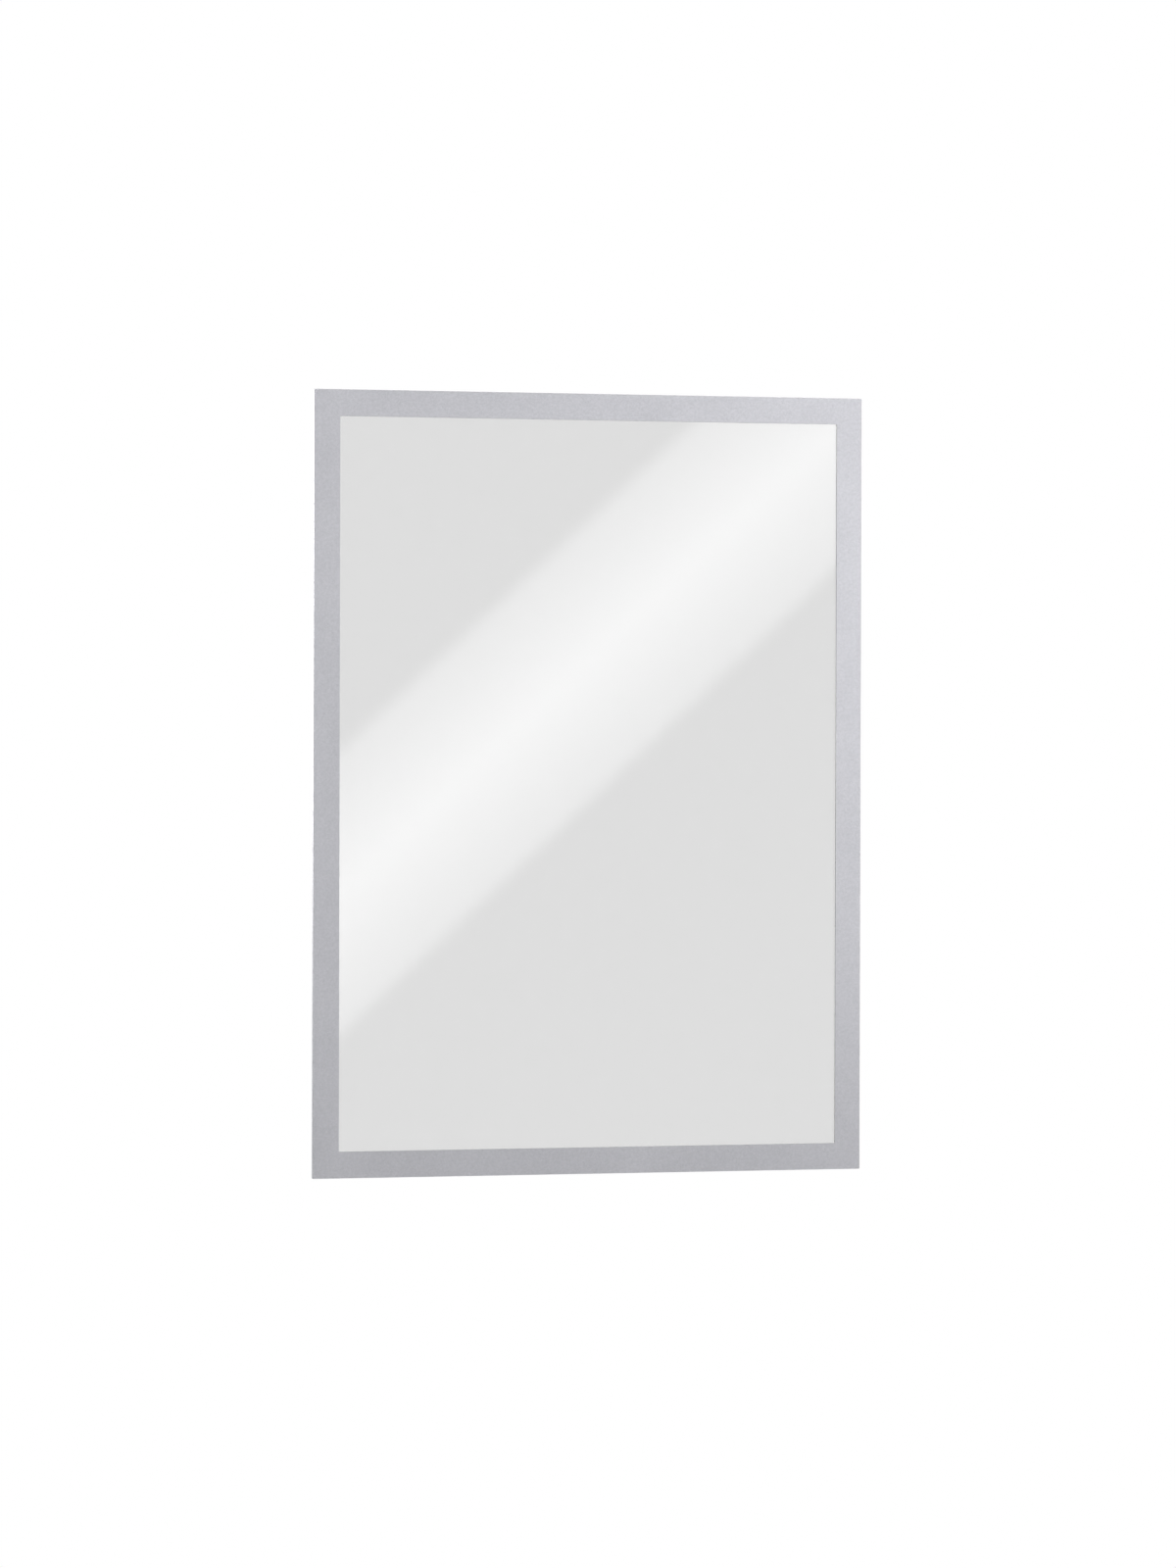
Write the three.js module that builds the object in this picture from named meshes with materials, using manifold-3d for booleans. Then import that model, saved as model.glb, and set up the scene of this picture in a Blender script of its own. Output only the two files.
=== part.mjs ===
// Fold-open magnetic display frame for one A3 sheet, stuck flat to a wall, a door or a pane of glass.
// The rear leaf is a clear sheet with four magnetic strips round a shallow pocket for the paper.
// The front leaf is a clear window film under a border of four magnetic strips, and closes on the rear one.
// One silver film covers both borders and is folded round the left edge: that fold is the hinge.
// Millimetres, +Z up. The front faces -Y, the wall is the plane y = 0, and x = z = 0 is the frame's middle.
import * as THREE from "three";
import { mergeVertices } from "three/addons/utils/BufferGeometryUtils.js";
import Module from "manifold-3d";

// The sheet on display, and the play that it has in its pocket on each side.
const SHEET_WIDTH = 297;
const SHEET_HEIGHT = 420;
const SHEET_PLAY = 0.5;

// Widths seen from the front. The rear strips frame the pocket, and the front border laps over the sheet.
const REAR_SIDE_STRIP = 13.5;
const REAR_END_STRIP = 12;
const FRONT_BORDER = 15;
const STRIP_JOINT = 0.3;
const TAPE_WIDTH = 10;
const TAPE_INSET = 1.5;
const TAPE_JOINT = 1;
const CORNER_RADIUS = 0.5;
const WINDOW_RADIUS = 0.5;

// Thicknesses, in the order of the layers from the wall to the front.
const TAPE_THICKNESS = 0.2;
const REAR_SHEET_THICKNESS = 0.3;
const COVER_THICKNESS = 0.15;
const REAR_MAGNET_THICKNESS = 0.7;
const LEAF_GAP = 0.3;
const WINDOW_THICKNESS = 0.3;
const FRONT_MAGNET_THICKNESS = 0.7;

// From the spine's face to the fold line, so that the spine's halves don't rub when folded face to face.
const FOLD_CLEARANCE = 0.15;

// Steps in a quarter turn of a die-cut corner.
const CORNER_STEPS = 8;

// The pocket, the leaves round it and the window in the front leaf.
const POCKET_WIDTH = SHEET_WIDTH + 2 * SHEET_PLAY;
const POCKET_HEIGHT = SHEET_HEIGHT + 2 * SHEET_PLAY;
const LEAF_WIDTH = POCKET_WIDTH + 2 * REAR_SIDE_STRIP;
const LEAF_HEIGHT = POCKET_HEIGHT + 2 * REAR_END_STRIP;
const WINDOW_WIDTH = LEAF_WIDTH - 2 * FRONT_BORDER;
const WINDOW_HEIGHT = LEAF_HEIGHT - 2 * FRONT_BORDER;

// Distance from the wall to the back of each layer.
const REAR_SHEET_DEPTH = TAPE_THICKNESS;
const REAR_COVER_DEPTH = REAR_SHEET_DEPTH + REAR_SHEET_THICKNESS;
const REAR_MAGNET_DEPTH = REAR_COVER_DEPTH + COVER_THICKNESS;
const REAR_LEAF_DEPTH = REAR_MAGNET_DEPTH + REAR_MAGNET_THICKNESS;
const WINDOW_DEPTH = REAR_LEAF_DEPTH + LEAF_GAP;
const FRONT_MAGNET_DEPTH = WINDOW_DEPTH + WINDOW_THICKNESS;
const FRONT_COVER_DEPTH = FRONT_MAGNET_DEPTH + FRONT_MAGNET_THICKNESS;

// The fold line: upright, just outside the left edge and midway between the closed leaves.
const HINGE_X = -LEAF_WIDTH / 2 - COVER_THICKNESS - FOLD_CLEARANCE;
const HINGE_Y = -(REAR_LEAF_DEPTH + LEAF_GAP / 2);

const QUARTER_TURN = Math.PI / 2;
const TOWARDS_FRONT = QUARTER_TURN;
const TOWARDS_WALL = -QUARTER_TURN;

const silverFilm = new THREE.MeshStandardMaterial({ color: 0xbdbdc2, roughness: 0.45, metalness: 0.6 });
const magneticRubber = new THREE.MeshStandardMaterial({ color: 0x2e2a28, roughness: 0.8, metalness: 0 });
const fixingTape = new THREE.MeshStandardMaterial({ color: 0xe9e8e2, roughness: 0.6, metalness: 0 });
const clearFilm = new THREE.MeshStandardMaterial({
  color: 0xe8ecee,
  roughness: 0.1,
  metalness: 0,
  transparent: true,
  opacity: 0.25,
});

const wasm = await Module();
wasm.setup();

// A closed geometry as a solid that can be joined to another.
function solid(geometry) {
  const bare = geometry.clone();
  bare.deleteAttribute("normal");
  bare.deleteAttribute("uv");
  const merged = mergeVertices(bare);
  const mesh = new wasm.Mesh({
    numProp: 3,
    vertProperties: merged.attributes.position.array,
    triVerts: new Uint32Array(merged.index.array),
  });
  return new wasm.Manifold(mesh);
}

// A solid as a geometry with flat faces.
function geometryOf(joined) {
  const mesh = joined.getMesh();
  const geometry = new THREE.BufferGeometry();
  geometry.setAttribute("position", new THREE.BufferAttribute(mesh.vertProperties, mesh.numProp));
  geometry.setIndex(new THREE.BufferAttribute(mesh.triVerts, 1));
  const faceted = geometry.toNonIndexed();
  faceted.computeVertexNormals();
  return faceted;
}

// A closed rectangle, drawn anticlockwise from its lower left corner with a radius for each corner.
// A radius of zero is a square corner.
function rectangle(path, [left, bottom, right, top], [lowerLeft, lowerRight, upperRight, upperLeft]) {
  const corners = [
    [left + lowerLeft, bottom + lowerLeft, lowerLeft],
    [right - lowerRight, bottom + lowerRight, lowerRight],
    [right - upperRight, top - upperRight, upperRight],
    [left + upperLeft, top - upperLeft, upperLeft],
  ];
  corners.forEach(([x, y, radius], corner) => {
    const start = Math.PI + corner * QUARTER_TURN;
    path.absarc(x, y, radius, start, start + QUARTER_TURN, false);
  });
  path.closePath();
  return path;
}

// A rectangle about the frame's middle with four like corners.
function centred(path, width, height, radius) {
  const edges = [-width / 2, -height / 2, width / 2, height / 2];
  return rectangle(path, edges, [radius, radius, radius, radius]);
}

// An outline in the plane of the frame, given its thickness.
function layer(outline, thickness) {
  return new THREE.ExtrudeGeometry(outline, {
    depth: thickness,
    bevelEnabled: false,
    curveSegments: CORNER_STEPS / 2,
  });
}

// Outlines of four strips round a rectangle: the side strips run its full height and carry the rounded
// corners, and the end strips fit between them with a small gap at each joint.
function stripsRound(width, height, side, end, joint, radius) {
  const right = width / 2;
  const top = height / 2;
  const inner = right - side;
  const endRight = inner - joint;
  const square = [0, 0, 0, 0];
  return {
    left: rectangle(new THREE.Shape(), [-right, -top, -inner, top], [radius, 0, 0, radius]),
    right: rectangle(new THREE.Shape(), [inner, -top, right, top], [0, radius, radius, 0]),
    top: rectangle(new THREE.Shape(), [-endRight, top - end, endRight, top], square),
    bottom: rectangle(new THREE.Shape(), [-endRight, -top, endRight, end - top], square),
  };
}

// Half of the silver film: a border round a window, folded round the left edge of its leaf.
// The border lies in the plane with its face up, and the spine hangs from its left edge by the leaf's
// thickness. The fold is a quarter round, and it ends where the die-cut corners begin.
function coverFilm(windowWidth, windowHeight, spine) {
  const border = centred(new THREE.Shape(), LEAF_WIDTH, LEAF_HEIGHT, CORNER_RADIUS);
  border.holes.push(centred(new THREE.Path(), windowWidth, windowHeight, WINDOW_RADIUS));
  const profile = new THREE.Shape();
  profile.moveTo(0, -spine);
  profile.lineTo(0, 0);
  profile.lineTo(COVER_THICKNESS, 0);
  profile.lineTo(COVER_THICKNESS, COVER_THICKNESS);
  profile.lineTo(0, COVER_THICKNESS);
  profile.absarc(0, 0, COVER_THICKNESS, QUARTER_TURN, Math.PI, false);
  profile.lineTo(-COVER_THICKNESS, -spine);
  profile.closePath();
  const run = LEAF_HEIGHT - 2 * CORNER_RADIUS;
  const fold = layer(profile, run);
  fold.rotateX(QUARTER_TURN);
  fold.translate(-LEAF_WIDTH / 2, run / 2, 0);
  return geometryOf(solid(layer(border, COVER_THICKNESS)).add(solid(fold)));
}

// Lays a geometry in a leaf at a distance from the wall, with its own z axis towards the front or the wall.
function lay(leaf, name, geometry, material, depth, facing) {
  const mesh = new THREE.Mesh(geometry, material);
  mesh.name = name;
  mesh.rotation.x = facing;
  mesh.position.set(0, -depth, 0).sub(leaf.position);
  leaf.add(mesh);
}

// Lays four strips of one thickness, each named for its side.
function layStrips(leaf, name, outlines, thickness, material, depth) {
  for (const [side, outline] of Object.entries(outlines)) {
    lay(leaf, `${name}_${side}`, layer(outline, thickness), material, depth, TOWARDS_FRONT);
  }
}

// Rear leaf: fixing tape on the back, clear sheet, silver border facing the wall, magnetic strips.
const rearLeaf = new THREE.Group();
const tapes = stripsRound(
  LEAF_WIDTH - 2 * TAPE_INSET,
  LEAF_HEIGHT - 2 * TAPE_INSET,
  TAPE_WIDTH,
  TAPE_WIDTH,
  TAPE_JOINT,
  CORNER_RADIUS,
);
layStrips(rearLeaf, "mounting_tape", tapes, TAPE_THICKNESS, fixingTape, 0);
const leafOutline = centred(new THREE.Shape(), LEAF_WIDTH, LEAF_HEIGHT, CORNER_RADIUS);
const rearSheet = layer(leafOutline, REAR_SHEET_THICKNESS);
lay(rearLeaf, "rear_sheet", rearSheet, clearFilm, REAR_SHEET_DEPTH, TOWARDS_FRONT);
const rearCover = coverFilm(POCKET_WIDTH, POCKET_HEIGHT, REAR_MAGNET_THICKNESS);
lay(rearLeaf, "rear_cover_film", rearCover, silverFilm, REAR_MAGNET_DEPTH, TOWARDS_WALL);
const rearStrips = stripsRound(
  LEAF_WIDTH,
  LEAF_HEIGHT,
  REAR_SIDE_STRIP,
  REAR_END_STRIP,
  STRIP_JOINT,
  CORNER_RADIUS,
);
layStrips(
  rearLeaf,
  "rear_magnet",
  rearStrips,
  REAR_MAGNET_THICKNESS,
  magneticRubber,
  REAR_MAGNET_DEPTH,
);

// Front leaf, hung on the fold line: clear window film, magnetic strips, silver border facing the viewer.
const frontLeaf = new THREE.Group();
frontLeaf.position.set(HINGE_X, HINGE_Y, 0);
const windowFilm = layer(leafOutline, WINDOW_THICKNESS);
lay(frontLeaf, "window_film", windowFilm, clearFilm, WINDOW_DEPTH, TOWARDS_FRONT);
const frontStrips = stripsRound(
  LEAF_WIDTH,
  LEAF_HEIGHT,
  FRONT_BORDER,
  FRONT_BORDER,
  STRIP_JOINT,
  CORNER_RADIUS,
);
layStrips(
  frontLeaf,
  "front_magnet",
  frontStrips,
  FRONT_MAGNET_THICKNESS,
  magneticRubber,
  FRONT_MAGNET_DEPTH,
);
const frontCover = coverFilm(WINDOW_WIDTH, WINDOW_HEIGHT, WINDOW_THICKNESS + FRONT_MAGNET_THICKNESS);
lay(frontLeaf, "front_cover_film", frontCover, silverFilm, FRONT_COVER_DEPTH, TOWARDS_FRONT);

const displayFrame = new THREE.Group();
displayFrame.add(rearLeaf, frontLeaf);

export default displayFrame;
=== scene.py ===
# A slim fold-open display frame for one sheet of paper, held flat on a wall by strips of tape.
# It is dressed in the order in which it is put together: the tape and the rear leaf first, then the
# front leaf that closes on it, and last the silver fold that joins the two along the left edge.
import math

import bpy
import numpy as np
from mathutils import Matrix, Quaternion, Vector


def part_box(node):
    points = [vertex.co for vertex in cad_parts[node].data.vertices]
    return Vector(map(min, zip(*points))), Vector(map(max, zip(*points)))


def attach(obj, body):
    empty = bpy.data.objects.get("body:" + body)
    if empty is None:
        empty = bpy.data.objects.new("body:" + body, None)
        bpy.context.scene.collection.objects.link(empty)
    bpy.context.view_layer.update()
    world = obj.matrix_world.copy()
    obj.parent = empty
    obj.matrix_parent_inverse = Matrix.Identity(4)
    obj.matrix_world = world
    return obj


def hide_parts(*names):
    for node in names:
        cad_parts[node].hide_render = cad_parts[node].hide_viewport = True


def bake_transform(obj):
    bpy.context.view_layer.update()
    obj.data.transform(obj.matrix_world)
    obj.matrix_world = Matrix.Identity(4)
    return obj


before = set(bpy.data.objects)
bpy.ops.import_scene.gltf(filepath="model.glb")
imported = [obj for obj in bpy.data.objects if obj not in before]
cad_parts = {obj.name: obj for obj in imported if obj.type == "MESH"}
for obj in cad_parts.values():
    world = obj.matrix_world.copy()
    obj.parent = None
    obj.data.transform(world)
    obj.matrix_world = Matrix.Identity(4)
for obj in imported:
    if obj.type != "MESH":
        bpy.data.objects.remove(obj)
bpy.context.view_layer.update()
scene = bpy.context.scene
scene.view_settings.view_transform = "Standard"

# Camera, at the photograph's viewpoint. It stands to the left of the frame and level with its middle,
# far back behind a long lens, so that the near edge is only a little taller than the far one.
# Distances are in metres, and the focal length is in millimetres.
VIEW_AZIMUTH = math.radians(-16.27)
VIEW_ELEVATION = math.radians(0.56)
VIEW_ROLL = math.radians(0.15)
VIEW_DISTANCE = 3.479
VIEW_MIDDLE = Vector((-0.0008, 0, 0))
FOCAL_LENGTH = 139.9

towards_camera = Vector((
    math.sin(VIEW_AZIMUTH) * math.cos(VIEW_ELEVATION),
    -math.cos(VIEW_AZIMUTH) * math.cos(VIEW_ELEVATION),
    math.sin(VIEW_ELEVATION),
))
roll = Quaternion((0, 0, 1), VIEW_ROLL)
camera = bpy.data.objects.new("camera", bpy.data.cameras.new("camera"))
camera.data.lens = FOCAL_LENGTH
camera.location = VIEW_MIDDLE + VIEW_DISTANCE * towards_camera
camera.rotation_mode = "QUATERNION"
camera.rotation_quaternion = towards_camera.to_track_quat("Z", "Y") @ roll
scene.collection.objects.link(camera)
scene.camera = camera

# Fixing tape: four strips of double-sided tape on the back, a milky acrylic adhesive with tissue in it.
# They are cut from a roll and pressed on to the rear sheet, and the wall takes the other face. The side
# strips carry the rounded corners.
MM = 0.001
CORNER_RADIUS = 0.5 * MM
CORNER_STEPS = 4
SHEET_PITCH = 8 * MM
GLUE_LINE = 0.02 * MM
CUT_ROUNDING = 0.03 * MM
CUT_STEPS = 2
SHARP_ANGLE = math.radians(40)

# The radius of each strip's left corners and of its right corners.
STRIP_CORNERS = {
    "left": (CORNER_RADIUS, 0),
    "right": (0, CORNER_RADIUS),
    "top": (0, 0),
    "bottom": (0, 0),
}


def cut_sheet(left, right, bottom, top, depth, corner_left, corner_right):
    """A flat cut sheet at y = depth that faces the front, as points in rows from its bottom to its top.
    A row is a straight line from the left edge to the right edge. Past the start of a corner of radius r,
    by a height d, the edge draws in by r - sqrt(r * r - d * d)."""
    reach = max(corner_left, corner_right)
    corner = reach * np.sin(np.linspace(0, math.pi / 2, CORNER_STEPS + 1))[1:]
    straight = np.linspace(bottom + reach, top - reach, 1 + math.ceil((top - bottom) / SHEET_PITCH))
    rounded = corner if reach else corner[:0]
    height = np.concatenate([bottom + reach - rounded[::-1], straight, top - reach + rounded])
    past = np.maximum(0, np.abs(height - (bottom + top) / 2) - ((top - bottom) / 2 - reach))
    first, last = (
        edge + side * (radius - np.sqrt(np.maximum(0, radius**2 - past**2)))
        for edge, side, radius in ((left, 1, corner_left), (right, -1, corner_right))
    )
    across = np.linspace(0, 1, 1 + math.ceil((right - left) / SHEET_PITCH))
    x = first[:, None] + (last - first)[:, None] * across
    z = np.broadcast_to(height[:, None], x.shape)
    return np.stack([x, np.full_like(x, depth), z], axis=-1)


def add_piece(name, points, material, round_rows=False, close_ends=False):
    """A mesh of quads on a grid of points, with its rows joined up in a loop if round_rows is set.
    Closed ends are strips of quads from each point of an end's loop to the one as far from the loop's
    end. The UV map is in metres, with u along the longer side of the grid's box and v along the shorter."""
    index = np.arange(points[..., 0].size).reshape(points.shape[:2])
    rows = np.vstack([index, index[:1]]) if round_rows else index
    corners = [rows[:-1, :-1], rows[:-1, 1:], rows[1:, 1:], rows[1:, :-1]]
    faces = np.stack(corners, axis=-1).reshape(-1, 4)
    if close_ends:
        near, far = np.split(index, 2)
        far = far[::-1]
        first = np.stack([near[:-1], near[1:], far[1:], far[:-1]], axis=-1)[:, 0]
        last = np.stack([far[:-1], far[1:], near[1:], near[:-1]], axis=-1)[:, -1]
        faces = np.concatenate([faces, first, last])
    flat = points.reshape(-1, 3)
    mesh = bpy.data.meshes.new(name)
    mesh.from_pydata(flat.tolist(), [], faces.tolist())
    along, over = np.argsort(-np.ptp(flat, axis=0))[:2]
    uv = mesh.uv_layers.new(name="UVMap")
    uv.uv.foreach_set("vector", flat[faces.ravel()][:, [along, over]].ravel())
    mesh.materials.append(material)
    piece = bpy.data.objects.new(name, mesh)
    scene.collection.objects.link(piece)
    return piece


def thicken(piece, thickness, cut_finish=None):
    """Gives a sheet its thickness, behind the face that it has, and breaks the sharp edges of the cut.
    A cut with a finish of its own wears it as the piece's second material."""
    body = piece.modifiers.new("thickness", "SOLIDIFY")
    body.thickness = thickness
    body.offset = -1
    if cut_finish:
        piece.data.materials.append(cut_finish)
        body.material_offset_rim = 1
    cut = piece.modifiers.new("cut_edge", "BEVEL")
    cut.width = CUT_ROUNDING
    cut.segments = CUT_STEPS
    cut.limit_method = "ANGLE"
    cut.angle_limit = SHARP_ANGLE


def linear(hex_colour):
    """An sRGB hex colour as linear red, green and blue, with an alpha of 1. A channel c becomes c / 12.92
    up to 0.04045, and ((c + 0.055) / 1.055) to the power of 2.4 above that."""
    srgb = np.array([int(hex_colour[i:i + 2], 16) for i in (1, 3, 5)]) / 255
    return (*np.where(srgb <= 0.04045, srgb / 12.92, ((srgb + 0.055) / 1.055) ** 2.4), 1.0)


def feed(tree, node, inputs):
    """Sets the inputs of a shader node. Each is given as a value, or as an output of another node."""
    for name, value in inputs.items():
        if isinstance(value, bpy.types.NodeSocket):
            tree.links.new(value, node.inputs[name])
        else:
            node.inputs[name].default_value = value


def add_node(tree, kind, output, inputs=None, stops=None, **settings):
    """Adds a shader node with its settings and inputs, and gives back the output that is named. A colour
    ramp is also given its two stops, each as a position and a colour."""
    node = tree.nodes.new(f"ShaderNode{kind}")
    for name, value in settings.items():
        setattr(node, name, value)
    feed(tree, node, inputs or {})
    if stops:
        for stop, (position, colour) in zip(node.color_ramp.elements, stops.items()):
            stop.position = position
            stop.color = linear(colour)
    return node.outputs[output]


def new_material(name):
    """An empty material, its node tree and its Principled shader."""
    material = bpy.data.materials.new(name)
    material.use_nodes = True
    tree = material.node_tree
    return material, tree, tree.nodes["Principled BSDF"]


# Acrylic tape looks like a milky film, clouded by the fine fibres of its tissue, which are drawn about
# three times too coarse. Small bubbles stay under it as it is pressed down, and show as glossier spots.
# A bubble's core and edge are shares of the distance between bubbles.
TAPE_TONES = {0.5: "#DBD9D1", 1.0: "#E9E8E2"}
TAPE_ROUGHNESS = 0.5
TAPE_IOR = 1.48
CLOUD_PITCH = 14 * MM
FIBRE_PITCH = 0.6 * MM
FIBRE_CURL = 2.5
FIBRE_SHARE = 0.5
BUBBLE_PITCH = 3.5 * MM
BUBBLE_CORE = 0.1
BUBBLE_EDGE = 0.16
BUBBLE_RISE = 0.03 * MM
BUBBLE_ROUGHNESS = 0.22
acrylic_tape, tree, shader = new_material("acrylic_tape")
place = add_node(tree, "TexCoord", "Object")
cloud = add_node(tree, "TexNoise", "Fac", {"Vector": place, "Scale": 1 / CLOUD_PITCH, "Detail": 4})
fibre = add_node(tree, "TexNoise", "Fac", {
    "Vector": place, "Scale": 1 / FIBRE_PITCH, "Detail": 3, "Distortion": FIBRE_CURL,
})
tissue = add_node(tree, "Math", "Value", {0: fibre, 1: FIBRE_SHARE, 2: cloud}, operation="MULTIPLY_ADD")
milky = add_node(tree, "ValToRGB", "Color", {"Fac": tissue}, stops=TAPE_TONES)
off_bubble = add_node(tree, "TexVoronoi", "Distance", {"Vector": place, "Scale": 1 / BUBBLE_PITCH})
bubble = add_node(tree, "MapRange", "Result", {
    "Value": off_bubble, "From Min": BUBBLE_EDGE, "From Max": BUBBLE_CORE,
})
gloss = add_node(tree, "MapRange", "Result", {
    "Value": bubble, "To Min": TAPE_ROUGHNESS, "To Max": BUBBLE_ROUGHNESS,
})
relief = add_node(tree, "Math", "Value", {0: fibre, 1: FIBRE_SHARE, 2: bubble}, operation="MULTIPLY_ADD")
dents = add_node(tree, "Bump", "Normal", {"Height": relief, "Strength": 1, "Distance": BUBBLE_RISE})
feed(tree, shader, {"Base Color": milky, "Roughness": gloss, "Normal": dents, "IOR": TAPE_IOR})

for side, corners in STRIP_CORNERS.items():
    node = f"mounting_tape_{side}"
    low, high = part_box(node)
    grid = cut_sheet(low.x, high.x, low.z, high.z, low.y + GLUE_LINE, *corners)
    tape = add_piece(f"tape_strip_{side}", grid, acrylic_tape)
    thicken(tape, high.y - low.y - GLUE_LINE)
    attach(tape, "rear_leaf")
    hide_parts(node)

# Rear sheet: a clear film of hard PVC, die-cut to the size of the whole frame. Everything on the rear
# leaf is glued to it, and it backs the paper.
FILM_TINT = "#EDEDED"
FILM_SMOOTHEST = 0.02
FILM_ROUGHEST = 0.03
PVC_IOR = 1.53
GRAIN_PITCH = 0.9 * MM
WAVE_PITCH = 70 * MM
WAVE_RISE = 0.012 * MM


def clear_pvc(name):
    """Calendered clear PVC film: slightly grey and glossy, with the fine grain of the rollers on it and
    long shallow waves that bend what it mirrors a little. The grain is drawn three times too coarse."""
    material, tree, shader = new_material(name)
    place = add_node(tree, "TexCoord", "Object")
    grain = add_node(tree, "TexNoise", "Fac", {"Vector": place, "Scale": 1 / GRAIN_PITCH, "Detail": 2})
    wave = add_node(tree, "TexNoise", "Fac", {"Vector": place, "Scale": 1 / WAVE_PITCH, "Detail": 1})
    blur = add_node(tree, "MapRange", "Result", {
        "Value": grain, "To Min": FILM_SMOOTHEST, "To Max": FILM_ROUGHEST,
    })
    bend = add_node(tree, "Bump", "Normal", {"Height": wave, "Strength": 1, "Distance": WAVE_RISE})
    feed(tree, shader, {
        "Base Color": linear(FILM_TINT),
        "Roughness": blur,
        "Normal": bend,
        "Transmission Weight": 1,
        "IOR": PVC_IOR,
    })
    return material


# The knife leaves the cut edge of a clear sheet matt and pale, because its fine marks scatter the light.
# They are drawn about three times too coarse.
CUT_TONES = {0.3: "#A9AFB0", 0.7: "#CDD2D2"}
CUT_SMOOTHEST = 0.4
CUT_ROUGHEST = 0.6
KNIFE_PITCH = 0.4 * MM
cut_pvc, tree, shader = new_material("cut_pvc_edge")
place = add_node(tree, "TexCoord", "Object")
knife = add_node(tree, "TexNoise", "Fac", {"Vector": place, "Scale": 1 / KNIFE_PITCH, "Detail": 2})
pale = add_node(tree, "ValToRGB", "Color", {"Fac": knife}, stops=CUT_TONES)
matt = add_node(tree, "MapRange", "Result", {
    "Value": knife, "To Min": CUT_SMOOTHEST, "To Max": CUT_ROUGHEST,
})
feed(tree, shader, {"Base Color": pale, "Roughness": matt, "IOR": PVC_IOR})

low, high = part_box("rear_sheet")
grid = cut_sheet(low.x, high.x, low.z, high.z, low.y, CORNER_RADIUS, CORNER_RADIUS)
back_sheet = add_piece("clear_back_sheet", grid, clear_pvc("clear_pvc_rear_sheet"))
thicken(back_sheet, high.y - low.y, cut_pvc)
back_sheet.visible_shadow = False
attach(back_sheet, "rear_leaf")
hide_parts("rear_sheet")

# Silver border, rear: half of one PVC film with aluminium flake in it, die-cut with two windows and
# folded in two. This half is glued to the front of the clear sheet, and the viewer sees the other half.
BORDER_STEPS = 4
SIDE_STEPS = 48


def rounded_outline(left, right, bottom, top, radius):
    """A closed rectangle with round corners, anticlockwise from its lower right corner, as x and z.
    Each corner is a quarter circle, and the straight side after it is cut into equal steps."""
    turn = np.linspace(0, math.pi / 2, CORNER_STEPS + 1)
    left, right, bottom, top = left + radius, right - radius, bottom + radius, top - radius
    middles = ((right, bottom), (right, top), (left, top), (left, bottom))
    arcs = [
        middle + radius * np.stack([np.cos(turn + start), np.sin(turn + start)], axis=1)
        for middle, start in zip(middles, np.arange(-1, 3) * math.pi / 2)
    ]
    share = np.linspace(0, 1, SIDE_STEPS + 1)[1:-1, None]
    sides = [
        arc[-1] + (next_arc[0] - arc[-1]) * share
        for arc, next_arc in zip(arcs, arcs[1:] + arcs[:1])
    ]
    return np.concatenate([part for pair in zip(arcs, sides) for part in pair])


def border_sheet(strips, depth):
    """A flat border at y = depth that faces the front and covers four strips. Its points lie on straight
    lines from the outline of the window to the outer outline: inner + (outer - inner) * share."""
    boxes = {side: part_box(f"{strips}_{side}") for side in STRIP_CORNERS}
    left, inner_left = (corner.x for corner in boxes["left"])
    inner_right, right = (corner.x for corner in boxes["right"])
    bottom, inner_bottom = (corner.z for corner in boxes["bottom"])
    inner_top, top = (corner.z for corner in boxes["top"])
    inner = rounded_outline(inner_left, inner_right, inner_bottom, inner_top, CORNER_RADIUS)
    outer = rounded_outline(left, right, bottom, top, CORNER_RADIUS)
    share = np.linspace(0, 1, BORDER_STEPS + 1)[None, :, None]
    flat = inner[:, None] + (outer - inner)[:, None] * share
    return np.stack([flat[..., 0], np.full(flat.shape[:2], depth), flat[..., 1]], axis=-1)


# Aluminium flake gives a satin silver: half of what it shows is a blurred mirror of the room. The flakes
# lie at chance angles, which the bump tilts them by, and their glitter is painted glint: each flake is made
# lighter or darker at random in the base colour, drawn about twice too coarse. The rollers that made the
# film leave a faint grain, and wide clouds that are fainter still.
SILVER_TONES = {0.2: "#939398", 1.0: "#B9B9BE"}
SATIN_ROUGHEST = 0.47
SATIN_SMOOTHEST = 0.39
METAL_SHARE = 0.5
FLAKE_PITCH = 0.12 * MM
FLAKE_GLINT_SHARE = 0.55
FLAKE_RISE = 0.003 * MM
GRIT_PITCH = 1.2 * MM
GRIT_SHARE = 0.5
STREAK_PITCH = 45 * MM
STREAK_SHARE = 0.25
silver_pvc, tree, shader = new_material("silver_flake_pvc")
place = add_node(tree, "TexCoord", "Object")
flake_and_glint = add_node(tree, "TexVoronoi", "Color", {"Vector": place, "Scale": 1 / FLAKE_PITCH})
grit = add_node(tree, "TexNoise", "Fac", {"Vector": place, "Scale": 1 / GRIT_PITCH, "Detail": 2})
streak = add_node(tree, "TexNoise", "Fac", {"Vector": place, "Scale": 1 / STREAK_PITCH, "Detail": 2})
tone = 0
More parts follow.
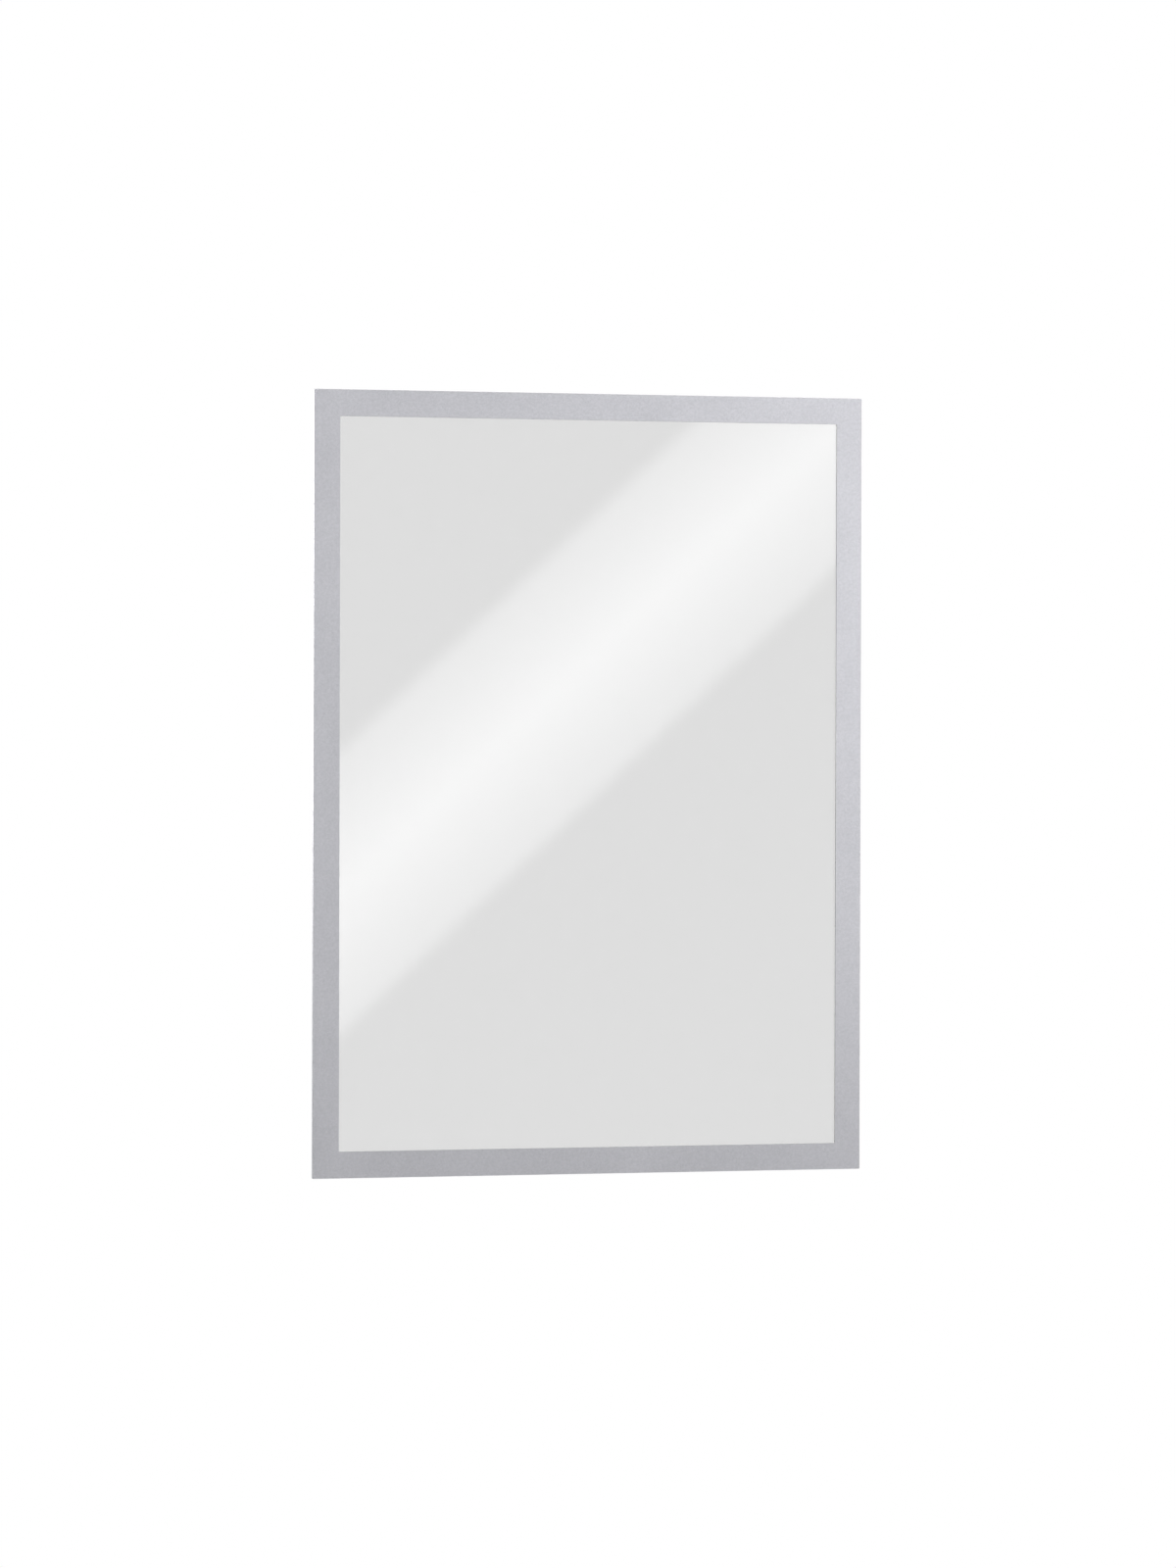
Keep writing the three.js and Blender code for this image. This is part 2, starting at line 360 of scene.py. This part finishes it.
# Each flake's random tone in the base colour is painted glint; the grit and clouds are the film's own tone.
for pattern, share in ((flake_and_glint, FLAKE_GLINT_SHARE), (grit, GRIT_SHARE), (streak, STREAK_SHARE)):
    tone = add_node(tree, "Math", "Value", {0: pattern, 1: share, 2: tone}, operation="MULTIPLY_ADD")
silver = add_node(tree, "ValToRGB", "Color", {"Fac": tone}, stops=SILVER_TONES)
satin = add_node(tree, "MapRange", "Result", {
    "Value": flake_and_glint, "To Min": SATIN_ROUGHEST, "To Max": SATIN_SMOOTHEST,
})
tilt = add_node(tree, "Bump", "Normal", {
    "Height": flake_and_glint.node.outputs["Distance"], "Strength": 1, "Distance": FLAKE_RISE,
})
feed(tree, shader, {"Base Color": silver, "Roughness": satin, "Normal": tilt, "Metallic": METAL_SHARE})

rear_film_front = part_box("rear_magnet_left")[1].y
rear_film_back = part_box("rear_cover_film")[1].y
grid = border_sheet("rear_magnet", rear_film_front)
rear_border = add_piece("silver_border_rear", grid, silver_pvc, round_rows=True)
thicken(rear_border, rear_film_back - GLUE_LINE - rear_film_front)
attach(rear_border, "rear_leaf")
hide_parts("rear_cover_film")

# Magnetic strips: eight strips of rubber filled with ferrite powder, extruded, magnetised and cut to
# length. Four are glued to each leaf, and the leaves hold each other shut through them. The rubber is a
# dull brownish black, with fine extrusion lines along it and a powdery grain, which is drawn too coarse.
RUBBER_TONES = {0.0: "#1F1B19", 1.0: "#3D3835"}
RUBBER_SMOOTHEST = 0.6
RUBBER_ROUGHEST = 0.85
RUBBER_IOR = 1.52
POWDER_PITCH = 0.5 * MM
POWDER_SHARPNESS = 0.7
LINE_LENGTH = 80 * MM
LINE_WIDTH = 0.6 * MM
LINE_SHARE = 0.8
LINE_RISE = 0.06 * MM
DARKEST_RELIEF = 0.65
PALEST_RELIEF = 1.15
ferrite_rubber, tree, shader = new_material("ferrite_rubber")
place = add_node(tree, "TexCoord", "Object")
along_strip = add_node(tree, "Mapping", "Vector", {
    "Vector": place.node.outputs["UV"], "Scale": (1 / LINE_LENGTH, 1 / LINE_WIDTH, 1),
})
lines = add_node(tree, "TexNoise", "Fac", {"Vector": along_strip, "Scale": 1, "Detail": 3})
powder = add_node(tree, "TexNoise", "Fac", {
    "Vector": place, "Scale": 1 / POWDER_PITCH, "Detail": 4, "Roughness": POWDER_SHARPNESS,
})
relief = add_node(tree, "Math", "Value", {0: lines, 1: LINE_SHARE, 2: powder}, operation="MULTIPLY_ADD")
level = add_node(tree, "MapRange", "Result", {
    "Value": relief, "From Min": DARKEST_RELIEF, "From Max": PALEST_RELIEF,
})
rubber = add_node(tree, "ValToRGB", "Color", {"Fac": level}, stops=RUBBER_TONES)
dull = add_node(tree, "MapRange", "Result", {
    "Value": level, "To Min": RUBBER_SMOOTHEST, "To Max": RUBBER_ROUGHEST,
})
ridges = add_node(tree, "Bump", "Normal", {"Height": relief, "Strength": 1, "Distance": LINE_RISE})
feed(tree, shader, {"Base Color": rubber, "Roughness": dull, "Normal": ridges, "IOR": RUBBER_IOR})

for leaf in ("rear", "front"):
    for side, corners in STRIP_CORNERS.items():
        node = f"{leaf}_magnet_{side}"
        low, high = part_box(node)
        grid = cut_sheet(low.x, high.x, low.z, high.z, low.y + GLUE_LINE, *corners)
        strip = add_piece(f"rubber_strip_{leaf}_{side}", grid, ferrite_rubber)
        thicken(strip, high.y - low.y - 2 * GLUE_LINE)
        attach(strip, f"{leaf}_leaf")
        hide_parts(node)

# Window: a clear film of the same PVC as the rear sheet, and as large. The front strips are glued to its
# face, and the silver border goes over them.
low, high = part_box("window_film")
grid = cut_sheet(low.x, high.x, low.z, high.z, low.y, CORNER_RADIUS, CORNER_RADIUS)
window = add_piece("clear_window", grid, clear_pvc("clear_pvc_window"))
thicken(window, high.y - low.y, cut_pvc)
window.visible_shadow = False
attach(window, "front_leaf")
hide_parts("window_film")

# Silver border, front: the other half of the silver film, which the viewer sees. It is glued over the
# front strips, and its die-cut window shows their dark cut edges.
front_film_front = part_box("front_cover_film")[0].y
front_film_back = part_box("front_magnet_left")[0].y
grid = border_sheet("front_magnet", front_film_front)
front_border = add_piece("silver_border_front", grid, silver_pvc, round_rows=True)
thicken(front_border, front_film_back - front_film_front)
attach(front_border, "front_leaf")
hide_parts("front_cover_film")

# Silver fold: the strip of the film that runs round the left edge from the rear border to the front one.
# It is scored along its middle, so that it bends there, and that crease is the hinge.
INNER_BEND = 0.02 * MM
BEND_STEPS = 6
CREASE_DEPTH = 0.05 * MM
CREASE_STEPS = 24
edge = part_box("front_magnet_left")[0].x
crease_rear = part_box("rear_magnet_left")[0].y
crease_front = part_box("window_film")[1].y


def fold_section(bend, score):
    """The film's line round the edge, from the front border to the rear border, as x and y. It is a
    quarter circle of radius bend, a straight run, and another quarter circle. The crease in the run is a
    groove of depth score * (1 + cos(turn)) / 2, over one full turn from one leaf to the other."""
    corner = np.linspace(0, math.pi / 2, BEND_STEPS + 1)
    rear = np.stack([edge - bend * np.sin(corner), rear_film_front + bend * np.cos(corner)], axis=1)
    run = np.linspace(crease_rear, crease_front, CREASE_STEPS + 1)
    turn = np.linspace(-math.pi, math.pi, CREASE_STEPS + 1)
    crease = np.stack([edge - bend + score * (1 + np.cos(turn)) / 2, run], axis=1)
    front = np.stack([edge - bend * np.cos(corner), front_film_back - bend * np.sin(corner)], axis=1)
    return np.concatenate([rear, crease, front])[::-1]


film_low, film_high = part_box("front_cover_film")
outside = fold_section(edge - film_low.x, CREASE_DEPTH)
inside = fold_section(INNER_BEND, 0)
section = np.concatenate([outside, inside[::-1]])
height = np.linspace(film_low.z + CORNER_RADIUS, film_high.z - CORNER_RADIUS, SIDE_STEPS + 1)
tube = np.empty((len(section), len(height), 3))
tube[..., :2] = section[:, None]
tube[..., 2] = height
fold = add_piece("silver_fold", tube, silver_pvc, round_rows=True, close_ends=True)
fold.data.shade_smooth()
fold.data.set_sharp_from_angle(angle=SHARP_ANGLE)
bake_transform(fold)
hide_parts("front_cover_film", "rear_cover_film")

# Studio: a plain pale floor far below the frame, which hangs on a wall, and a white room all round.
# The floor fades out into the room towards its edge. Both are at their brightest where they are seen,
# mirrored or looked at through the film, and the room lights softly from all sides.
WHITE = "#FFFFFF"
ROOM_LIGHT = 0.2
FLOOR_PAINT = "#EAEAE8"
FLOOR_ROUGHNESS = 0.9
FLOOR_GLOW = 0.5
FLOOR_FADE = 0.5
FLOOR_DROP = 0.9
FLOOR_SIDES = 2.5
FLOOR_FRONT = 6.0
FLOOR_BACK = 1.8


def seen_directly(tree):
    """The share of a ray that shows the background: 1 for what the eye, a mirror or a clear film sees."""
    ray = add_node(tree, "LightPath", "Is Camera Ray")
    mirror, film = (ray.node.outputs[name] for name in ("Is Glossy Ray", "Is Transmission Ray"))
    mirrored = add_node(tree, "Math", "Value", {0: ray, 1: mirror}, operation="MAXIMUM")
    return add_node(tree, "Math", "Value", {0: mirrored, 1: film}, operation="MAXIMUM")


room = bpy.data.worlds.new("white_room")
room.use_nodes = True
scene.world = room
tree = room.node_tree
light = add_node(tree, "MapRange", "Result", {"Value": seen_directly(tree), "To Min": ROOM_LIGHT})
feed(tree, tree.nodes["Background"], {"Color": linear(WHITE), "Strength": light})

painted_floor, tree, shader = new_material("painted_floor")
glow = add_node(tree, "MapRange", "Result", {"Value": seen_directly(tree), "To Max": FLOOR_GLOW})
floor_length = FLOOR_FRONT + FLOOR_BACK
place = add_node(tree, "Mapping", "Vector", {
    "Vector": add_node(tree, "TexCoord", "Object"),
    "Location": (0, (FLOOR_FRONT - FLOOR_BACK) / floor_length, 0),
    "Scale": (1 / FLOOR_SIDES, 2 / floor_length, 0),
})
from_edge = add_node(tree, "TexGradient", "Fac", {"Vector": place}, gradient_type="SPHERICAL")
cover = add_node(tree, "MapRange", "Result", {
    "Value": from_edge, "From Max": FLOOR_FADE,
}, interpolation_type="SMOOTHSTEP")
feed(tree, shader, {
    "Base Color": linear(FLOOR_PAINT),
    "Roughness": FLOOR_ROUGHNESS,
    "Alpha": cover,
    "Emission Color": linear(WHITE),
    "Emission Strength": glow,
})
across, along = np.meshgrid((-FLOOR_SIDES, FLOOR_SIDES), (-FLOOR_FRONT, FLOOR_BACK))
ground = np.stack([across, along, np.full((2, 2), -FLOOR_DROP)], axis=-1)
add_piece("floor", ground, painted_floor)

# Lamps: four soft boxes. A tall one on the right makes the silver brightest on that side, and one at the
# upper left and one behind fill in the rest. A long narrow one in front, brightest along its middle and
# fading out at its rims, slants across the window in its mirror.
UPRIGHT = (0, 0, 1)
SIDEWAYS = (1, 0, 0)
TOWARDS_WALL = (0, 1, 0)


def add_softbox(name, place, along, facing, length, width, radiance):
    """A rectangular lamp that gives the same light in all directions in front of it. Its power in watts
    is 4 * radiance * area. The long side lies along one direction, and it shines towards another."""
    back = -Vector(facing).normalized()
    side = back.cross(Vector(along)).normalized()
    lamp = bpy.data.lights.new(name, "AREA")
    lamp.shape = "RECTANGLE"
    lamp.size = length
    lamp.size_y = width
    lamp.energy = 4 * radiance * length * width
    turned = Matrix((side.cross(back), side, back)).transposed()
    box = bpy.data.objects.new(name, lamp)
    box.matrix_world = Matrix.Translation(place) @ turned.to_4x4()
    box.visible_camera = False
    box.visible_transmission = False
    scene.collection.objects.link(box)
    return box


KEY_PLACE = Vector((0.58, -0.8, 0.25))
KEY_HEIGHT = 1.0
KEY_WIDTH = 0.25
KEY_RADIANCE = 2.9
add_softbox("key_softbox", KEY_PLACE, UPRIGHT, -KEY_PLACE, KEY_HEIGHT, KEY_WIDTH, KEY_RADIANCE)

FILL_PLACE = Vector((-0.45, -0.5, 0.4))
FILL_LENGTH = 0.5
FILL_WIDTH = 0.25
FILL_RADIANCE = 4.6
add_softbox("fill_softbox", FILL_PLACE, SIDEWAYS, -FILL_PLACE, FILL_LENGTH, FILL_WIDTH, FILL_RADIANCE)

REAR_PLACE = Vector((-0.8, 1.1, 0.35))
REAR_SIZE = 0.9
REAR_RADIANCE = 5.5
add_softbox("rear_softbox", REAR_PLACE, SIDEWAYS, -REAR_PLACE, REAR_SIZE, REAR_SIZE, REAR_RADIANCE)

# The long lamp has the power of a radiance of 1, which its nodes multiply from the middle to the rims.
GLARE_PLACE = (0.44, -1.5, 0.09)
GLARE_SLOPE = (1, 0, 0.904)
GLARE_LENGTH = 1.5
GLARE_WIDTH = 0.193
GLARE_MIDDLE = 3.6
GLARE_EDGE = 1.4
GLARE_RIM = 0.8
glare = add_softbox(
    "glare_softbox", GLARE_PLACE, GLARE_SLOPE, TOWARDS_WALL, GLARE_LENGTH, GLARE_WIDTH, radiance=1
)
glare.data.use_nodes = True
tree = glare.data.node_tree
spot = add_node(tree, "NewGeometry", "Parametric")
over = add_node(tree, "SeparateXYZ", "Y", {"Vector": spot})
off_middle = add_node(tree, "Math", "Value", {0: over, 1: 2, 2: -1}, operation="MULTIPLY_ADD")
distance = add_node(tree, "Math", "Value", {0: off_middle}, operation="ABSOLUTE")
bright = add_node(tree, "MapRange", "Result", {
    "Value": distance, "To Min": GLARE_MIDDLE, "To Max": GLARE_EDGE,
})
rim = add_node(tree, "MapRange", "Result", {
    "Value": distance, "From Min": 1, "From Max": GLARE_RIM,
}, interpolation_type="SMOOTHSTEP")
strength = add_node(tree, "Math", "Value", {0: bright, 1: rim}, operation="MULTIPLY")
feed(tree, tree.nodes["Emission"], {"Strength": strength})
